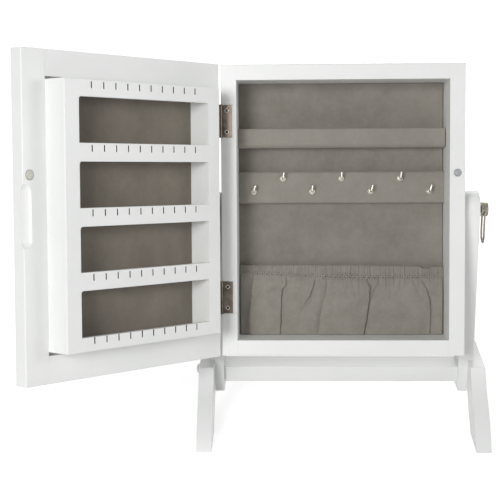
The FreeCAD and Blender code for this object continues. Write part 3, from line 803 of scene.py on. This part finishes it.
def make_screw_heads():
    screws("case_screw_heads", "case", "hinge_case_screws",
           [at_case(-138.0, -0.02, z) for z in HINGE_SCREWS], CASE_FRONT)
    screws("door_screw_heads", "door", "hinge_door_screws",
           [at_door(2.18, -8.5, z) for z in HINGE_SCREWS], at_door(-1, 0, 0) - at_door(0, 0, 0))


# ------------------------------------------------------------------ stage, light and camera
FLOOR_HALF = 12.0               # metres
GLOW_DISTANCE = (0.2, 0.9)      # the floor's glow rises between these distances from the middle, in metres
GLOW_STRENGTH = (0.56, 1.0)
AMBIENT = 0.26                  # the world's strength for diffuse light


def seen_directly(tree):
    """1 for rays from the camera, from reflections and through glass."""
    path = tree.nodes.new("ShaderNodeLightPath")
    total = path.outputs["Is Camera Ray"]
    for name in ("Is Glossy Ray", "Is Transmission Ray"):
        add = tree.nodes.new("ShaderNodeMath")
        add.operation = "MAXIMUM"
        tree.links.new(total, add.inputs[0])
        tree.links.new(path.outputs[name], add.inputs[1])
        total = add.outputs[0]
    return total


def glow_level(tree):
    """Strength of the floor's glow: it rises with distance, and only direct rays see it."""
    coords = tree.nodes.new("ShaderNodeTexCoord")
    distance = tree.nodes.new("ShaderNodeVectorMath")
    distance.operation = "LENGTH"
    tree.links.new(coords.outputs["Object"], distance.inputs[0])
    rising = tree.nodes.new("ShaderNodeMapRange")
    rising.inputs["From Min"].default_value, rising.inputs["From Max"].default_value = GLOW_DISTANCE
    rising.inputs["To Min"].default_value, rising.inputs["To Max"].default_value = GLOW_STRENGTH
    tree.links.new(distance.outputs["Value"], rising.inputs["Value"])
    level = tree.nodes.new("ShaderNodeMath")
    level.operation = "MULTIPLY"
    tree.links.new(seen_directly(tree), level.inputs[0])
    tree.links.new(rising.outputs["Result"], level.inputs[1])
    return level.outputs[0]


def floor_material():
    material, tree, shader = new_material("floor_white")
    set_values(shader, Base_Color=(0.82, 0.82, 0.82, 1), Roughness=0.9, Specular_IOR_Level=0.0)
    glow = tree.nodes.new("ShaderNodeEmission")
    tree.links.new(glow_level(tree), glow.inputs["Strength"])
    add = tree.nodes.new("ShaderNodeAddShader")
    tree.links.new(shader.outputs["BSDF"], add.inputs[0])
    tree.links.new(glow.outputs["Emission"], add.inputs[1])
    tree.links.new(add.outputs[0], tree.nodes["Material Output"].inputs["Surface"])
    return material


def make_floor():
    """Pale floor that keeps the object's shadow and turns white further out."""
    bm = bmesh.new()
    corners = ((-1, -1), (1, -1), (1, 1), (-1, 1))
    bm.faces.new([bm.verts.new((x * FLOOR_HALF, y * FLOOR_HALF, 0)) for x, y in corners])
    mesh = bpy.data.meshes.new("floor")
    bm.to_mesh(mesh)
    bm.free()
    floor = bpy.data.objects.new("floor", mesh)
    bpy.context.scene.collection.objects.link(floor)
    mesh.materials.append(floor_material())


def make_world():
    """White where it is seen directly, and a low even light everywhere else."""
    world = bpy.data.worlds.new("studio")
    bpy.context.scene.world = world
    world.use_nodes = True
    tree = world.node_tree
    background = tree.nodes["Background"]
    background.inputs["Color"].default_value = (1, 1, 1, 1)
    mix = tree.nodes.new("ShaderNodeMix")
    mix.data_type = "FLOAT"
    mix.inputs["A"].default_value = AMBIENT
    mix.inputs["B"].default_value = 1.0
    tree.links.new(seen_directly(tree), mix.inputs["Factor"])
    tree.links.new(mix.outputs["Result"], background.inputs["Strength"])


# name, place and target from the stand's middle in metres, diameter in metres, power in watts
LAMPS = (
    ("left_softbox", (-0.74, -2.05, 1.05), (0, 0, 0.25), 0.75, 29.5),
    ("back_softbox", (0.40, 2.10, 1.70), (0, 0, 0.25), 1.5, 15),
    ("side_fill", (2.30, -0.50, 0.85), (-0.15, -0.05, 0.25), 1.2, 15),
)


def make_lamp(name, place, target, size, power):
    data = bpy.data.lights.new(name, "AREA")
    data.shape = "DISK"
    data.size = size
    data.energy = power
    obj = bpy.data.objects.new(name, data)
    obj.location = STAND + Vector(place)
    aim = (STAND + Vector(target)) - obj.location
    obj.rotation_euler = aim.to_track_quat("-Z", "Y").to_euler()
    bpy.context.scene.collection.objects.link(obj)


CAMERA_PLACE = (-57.7, -1424.4, 689.0)
CAMERA_FORWARD = (-0.03675, 0.94861, -0.31431)
CAMERA_RIGHT = (0.99932, 0.03390, -0.01450)
CAMERA_LENS, CAMERA_SENSOR = 87.24, 36.0


def make_camera():
    """The photograph's viewpoint, fitted to the straight edges of case, door and stand."""
    forward = Vector(CAMERA_FORWARD).normalized()
    right = Vector(CAMERA_RIGHT)
    right = (right - forward * right.dot(forward)).normalized()
    up = right.cross(forward)
    data = bpy.data.cameras.new("camera")
    data.sensor_width = CAMERA_SENSOR
    data.lens = CAMERA_LENS
    data.clip_start = 0.05
    camera = bpy.data.objects.new("camera", data)
    place = at_stand(*CAMERA_PLACE)
    camera.matrix_world = Matrix((
        (right.x, up.x, -forward.x, place.x),
        (right.y, up.y, -forward.y, place.y),
        (right.z, up.z, -forward.z, place.z),
        (0, 0, 0, 1),
    ))
    bpy.context.scene.collection.objects.link(camera)
    bpy.context.scene.camera = camera


make_hooks()
make_ring(-1, "left_ring", "left_folding_ring")
make_ring(1, "right_ring", "right_folding_ring")
make_caps()
make_velvet_boards()
pocket = make_pocket()
stitches = make_stitches()
make_slot_shade()
make_screw_heads()

make_floor()
make_world()
for lamp in LAMPS:
    make_lamp(*lamp)
make_camera()
bpy.context.scene.view_settings.view_transform = "Standard"
